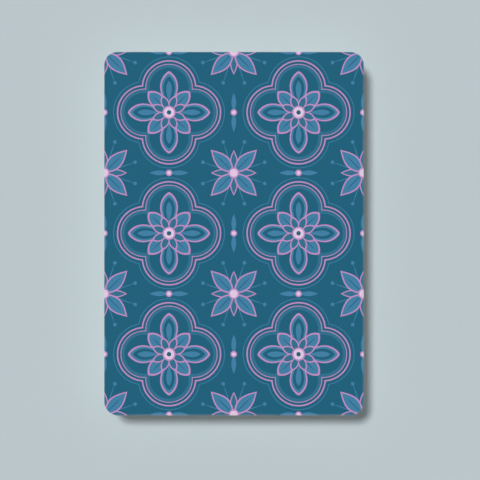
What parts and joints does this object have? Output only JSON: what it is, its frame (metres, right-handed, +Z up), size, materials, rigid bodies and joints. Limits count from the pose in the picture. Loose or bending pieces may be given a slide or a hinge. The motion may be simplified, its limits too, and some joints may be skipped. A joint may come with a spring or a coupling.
{
  "type": "question card deck",
  "caption": "Deck of loose poker-size question cards with rounded corners and patterned backs, squared up and lying flat; each card slides off the deck to either side.",
  "frame": {"origin": "middle of the deck's footprint, on the table", "axes": "+X across the cards, the way they are drawn; +Y along the cards' long side; +Z up, backs up"},
  "size_m": [0.0638, 0.0892, 0.0173],
  "materials": {
    "printed_card_stock": "offset-printed coated card with a satin water-based varnish; bare paper at the cut edges"
  },
  "bodies": {
    "question_card_01": {"question_card_01": "printed_card_stock"},
    "question_card_02": {"question_card_02": "printed_card_stock"},
    "question_card_03": {"question_card_03": "printed_card_stock"},
    "question_card_04": {"question_card_04": "printed_card_stock"},
    "question_card_05": {"question_card_05": "printed_card_stock"},
    "question_card_06": {"question_card_06": "printed_card_stock"},
    "question_card_07": {"question_card_07": "printed_card_stock"},
    "question_card_08": {"question_card_08": "printed_card_stock"},
    "question_card_09": {"question_card_09": "printed_card_stock"},
    "question_card_10": {"question_card_10": "printed_card_stock"},
    "question_card_11": {"question_card_11": "printed_card_stock"},
    "question_card_12": {"question_card_12": "printed_card_stock"},
    "question_card_13": {"question_card_13": "printed_card_stock"},
    "question_card_14": {"question_card_14": "printed_card_stock"},
    "question_card_15": {"question_card_15": "printed_card_stock"},
    "question_card_16": {"question_card_16": "printed_card_stock"},
    "question_card_17": {"question_card_17": "printed_card_stock"},
    "question_card_18": {"question_card_18": "printed_card_stock"},
    "question_card_19": {"question_card_19": "printed_card_stock"},
    "question_card_20": {"question_card_20": "printed_card_stock"},
    "question_card_21": {"question_card_21": "printed_card_stock"},
    "question_card_22": {"question_card_22": "printed_card_stock"},
    "question_card_23": {"question_card_23": "printed_card_stock"},
    "question_card_24": {"question_card_24": "printed_card_stock"},
    "question_card_25": {"question_card_25": "printed_card_stock"},
    "question_card_26": {"question_card_26": "printed_card_stock"},
    "question_card_27": {"question_card_27": "printed_card_stock"},
    "question_card_28": {"question_card_28": "printed_card_stock"},
    "question_card_29": {"question_card_29": "printed_card_stock"},
    "question_card_30": {"question_card_30": "printed_card_stock"},
    "question_card_31": {"question_card_31": "printed_card_stock"},
    "question_card_32": {"question_card_32": "printed_card_stock"},
    "question_card_33": {"question_card_33": "printed_card_stock"},
    "question_card_34": {"question_card_34": "printed_card_stock"},
    "question_card_35": {"question_card_35": "printed_card_stock"},
    "question_card_36": {"question_card_36": "printed_card_stock"},
    "question_card_37": {"question_card_37": "printed_card_stock"},
    "question_card_38": {"question_card_38": "printed_card_stock"},
    "question_card_39": {"question_card_39": "printed_card_stock"},
    "question_card_40": {"question_card_40": "printed_card_stock"},
    "question_card_41": {"question_card_41": "printed_card_stock"},
    "question_card_42": {"question_card_42": "printed_card_stock"},
    "question_card_43": {"question_card_43": "printed_card_stock"},
    "question_card_44": {"question_card_44": "printed_card_stock"},
    "question_card_45": {"question_card_45": "printed_card_stock"},
    "question_card_46": {"question_card_46": "printed_card_stock"},
    "question_card_47": {"question_card_47": "printed_card_stock"},
    "question_card_48": {"question_card_48": "printed_card_stock"},
    "question_card_49": {"question_card_49": "printed_card_stock"},
    "question_card_50": {"question_card_50": "printed_card_stock"},
    "question_card_51": {"question_card_51": "printed_card_stock"},
    "question_card_52": {"question_card_52": "printed_card_stock"},
    "question_card_53": {"question_card_53": "printed_card_stock"},
    "question_card_54": {"question_card_54": "printed_card_stock"}
  },
  "joints": [
    {"name": "question_card_01_draw", "type": "slide", "parent": "question_card_54", "child": "question_card_01", "axis": [1, 0, 0], "range_m": [-0.07, 0.07]},
    {"name": "question_card_02_draw", "type": "slide", "parent": "question_card_54", "child": "question_card_02", "axis": [1, 0, 0], "range_m": [-0.07, 0.07]},
    {"name": "question_card_03_draw", "type": "slide", "parent": "question_card_54", "child": "question_card_03", "axis": [1, 0, 0], "range_m": [-0.07, 0.07]},
    {"name": "question_card_04_draw", "type": "slide", "parent": "question_card_54", "child": "question_card_04", "axis": [1, 0, 0], "range_m": [-0.07, 0.07]},
    {"name": "question_card_05_draw", "type": "slide", "parent": "question_card_54", "child": "question_card_05", "axis": [1, 0, 0], "range_m": [-0.07, 0.07]},
    {"name": "question_card_06_draw", "type": "slide", "parent": "question_card_54", "child": "question_card_06", "axis": [1, 0, 0], "range_m": [-0.07, 0.07]},
    {"name": "question_card_07_draw", "type": "slide", "parent": "question_card_54", "child": "question_card_07", "axis": [1, 0, 0], "range_m": [-0.07, 0.07]},
    {"name": "question_card_08_draw", "type": "slide", "parent": "question_card_54", "child": "question_card_08", "axis": [1, 0, 0], "range_m": [-0.07, 0.07]},
    {"name": "question_card_09_draw", "type": "slide", "parent": "question_card_54", "child": "question_card_09", "axis": [1, 0, 0], "range_m": [-0.07, 0.07]},
    {"name": "question_card_10_draw", "type": "slide", "parent": "question_card_54", "child": "question_card_10", "axis": [1, 0, 0], "range_m": [-0.07, 0.07]},
    {"name": "question_card_11_draw", "type": "slide", "parent": "question_card_54", "child": "question_card_11", "axis": [1, 0, 0], "range_m": [-0.07, 0.07]},
    {"name": "question_card_12_draw", "type": "slide", "parent": "question_card_54", "child": "question_card_12", "axis": [1, 0, 0], "range_m": [-0.07, 0.07]},
    {"name": "question_card_13_draw", "type": "slide", "parent": "question_card_54", "child": "question_card_13", "axis": [1, 0, 0], "range_m": [-0.07, 0.07]},
    {"name": "question_card_14_draw", "type": "slide", "parent": "question_card_54", "child": "question_card_14", "axis": [1, 0, 0], "range_m": [-0.07, 0.07]},
    {"name": "question_card_15_draw", "type": "slide", "parent": "question_card_54", "child": "question_card_15", "axis": [1, 0, 0], "range_m": [-0.07, 0.07]},
    {"name": "question_card_16_draw", "type": "slide", "parent": "question_card_54", "child": "question_card_16", "axis": [1, 0, 0], "range_m": [-0.07, 0.07]},
    {"name": "question_card_17_draw", "type": "slide", "parent": "question_card_54", "child": "question_card_17", "axis": [1, 0, 0], "range_m": [-0.07, 0.07]},
    {"name": "question_card_18_draw", "type": "slide", "parent": "question_card_54", "child": "question_card_18", "axis": [1, 0, 0], "range_m": [-0.07, 0.07]},
    {"name": "question_card_19_draw", "type": "slide", "parent": "question_card_54", "child": "question_card_19", "axis": [1, 0, 0], "range_m": [-0.07, 0.07]},
    {"name": "question_card_20_draw", "type": "slide", "parent": "question_card_54", "child": "question_card_20", "axis": [1, 0, 0], "range_m": [-0.07, 0.07]},
    {"name": "question_card_21_draw", "type": "slide", "parent": "question_card_54", "child": "question_card_21", "axis": [1, 0, 0], "range_m": [-0.07, 0.07]},
    {"name": "question_card_22_draw", "type": "slide", "parent": "question_card_54", "child": "question_card_22", "axis": [1, 0, 0], "range_m": [-0.07, 0.07]},
    {"name": "question_card_23_draw", "type": "slide", "parent": "question_card_54", "child": "question_card_23", "axis": [1, 0, 0], "range_m": [-0.07, 0.07]},
    {"name": "question_card_24_draw", "type": "slide", "parent": "question_card_54", "child": "question_card_24", "axis": [1, 0, 0], "range_m": [-0.07, 0.07]},
    {"name": "question_card_25_draw", "type": "slide", "parent": "question_card_54", "child": "question_card_25", "axis": [1, 0, 0], "range_m": [-0.07, 0.07]},
    {"name": "question_card_26_draw", "type": "slide", "parent": "question_card_54", "child": "question_card_26", "axis": [1, 0, 0], "range_m": [-0.07, 0.07]},
    {"name": "question_card_27_draw", "type": "slide", "parent": "question_card_54", "child": "question_card_27", "axis": [1, 0, 0], "range_m": [-0.07, 0.07]},
    {"name": "question_card_28_draw", "type": "slide", "parent": "question_card_54", "child": "question_card_28", "axis": [1, 0, 0], "range_m": [-0.07, 0.07]},
    {"name": "question_card_29_draw", "type": "slide", "parent": "question_card_54", "child": "question_card_29", "axis": [1, 0, 0], "range_m": [-0.07, 0.07]},
    {"name": "question_card_30_draw", "type": "slide", "parent": "question_card_54", "child": "question_card_30", "axis": [1, 0, 0], "range_m": [-0.07, 0.07]},
    {"name": "question_card_31_draw", "type": "slide", "parent": "question_card_54", "child": "question_card_31", "axis": [1, 0, 0], "range_m": [-0.07, 0.07]},
    {"name": "question_card_32_draw", "type": "slide", "parent": "question_card_54", "child": "question_card_32", "axis": [1, 0, 0], "range_m": [-0.07, 0.07]},
    {"name": "question_card_33_draw", "type": "slide", "parent": "question_card_54", "child": "question_card_33", "axis": [1, 0, 0], "range_m": [-0.07, 0.07]},
    {"name": "question_card_34_draw", "type": "slide", "parent": "question_card_54", "child": "question_card_34", "axis": [1, 0, 0], "range_m": [-0.07, 0.07]},
    {"name": "question_card_35_draw", "type": "slide", "parent": "question_card_54", "child": "question_card_35", "axis": [1, 0, 0], "range_m": [-0.07, 0.07]},
    {"name": "question_card_36_draw", "type": "slide", "parent": "question_card_54", "child": "question_card_36", "axis": [1, 0, 0], "range_m": [-0.07, 0.07]},
    {"name": "question_card_37_draw", "type": "slide", "parent": "question_card_54", "child": "question_card_37", "axis": [1, 0, 0], "range_m": [-0.07, 0.07]},
    {"name": "question_card_38_draw", "type": "slide", "parent": "question_card_54", "child": "question_card_38", "axis": [1, 0, 0], "range_m": [-0.07, 0.07]},
    {"name": "question_card_39_draw", "type": "slide", "parent": "question_card_54", "child": "question_card_39", "axis": [1, 0, 0], "range_m": [-0.07, 0.07]},
    {"name": "question_card_40_draw", "type": "slide", "parent": "question_card_54", "child": "question_card_40", "axis": [1, 0, 0], "range_m": [-0.07, 0.07]},
    {"name": "question_card_41_draw", "type": "slide", "parent": "question_card_54", "child": "question_card_41", "axis": [1, 0, 0], "range_m": [-0.07, 0.07]},
    {"name": "question_card_42_draw", "type": "slide", "parent": "question_card_54", "child": "question_card_42", "axis": [1, 0, 0], "range_m": [-0.07, 0.07]},
    {"name": "question_card_43_draw", "type": "slide", "parent": "question_card_54", "child": "question_card_43", "axis": [1, 0, 0], "range_m": [-0.07, 0.07]},
    {"name": "question_card_44_draw", "type": "slide", "parent": "question_card_54", "child": "question_card_44", "axis": [1, 0, 0], "range_m": [-0.07, 0.07]},
    {"name": "question_card_45_draw", "type": "slide", "parent": "question_card_54", "child": "question_card_45", "axis": [1, 0, 0], "range_m": [-0.07, 0.07]},
    {"name": "question_card_46_draw", "type": "slide", "parent": "question_card_54", "child": "question_card_46", "axis": [1, 0, 0], "range_m": [-0.07, 0.07]},
    {"name": "question_card_47_draw", "type": "slide", "parent": "question_card_54", "child": "question_card_47", "axis": [1, 0, 0], "range_m": [-0.07, 0.07]},
    {"name": "question_card_48_draw", "type": "slide", "parent": "question_card_54", "child": "question_card_48", "axis": [1, 0, 0], "range_m": [-0.07, 0.07]},
    {"name": "question_card_49_draw", "type": "slide", "parent": "question_card_54", "child": "question_card_49", "axis": [1, 0, 0], "range_m": [-0.07, 0.07]},
    {"name": "question_card_50_draw", "type": "slide", "parent": "question_card_54", "child": "question_card_50", "axis": [1, 0, 0], "range_m": [-0.07, 0.07]},
    {"name": "question_card_51_draw", "type": "slide", "parent": "question_card_54", "child": "question_card_51", "axis": [1, 0, 0], "range_m": [-0.07, 0.07]},
    {"name": "question_card_52_draw", "type": "slide", "parent": "question_card_54", "child": "question_card_52", "axis": [1, 0, 0], "range_m": [-0.07, 0.07]},
    {"name": "question_card_53_draw", "type": "slide", "parent": "question_card_54", "child": "question_card_53", "axis": [1, 0, 0], "range_m": [-0.07, 0.07]}
  ]
}
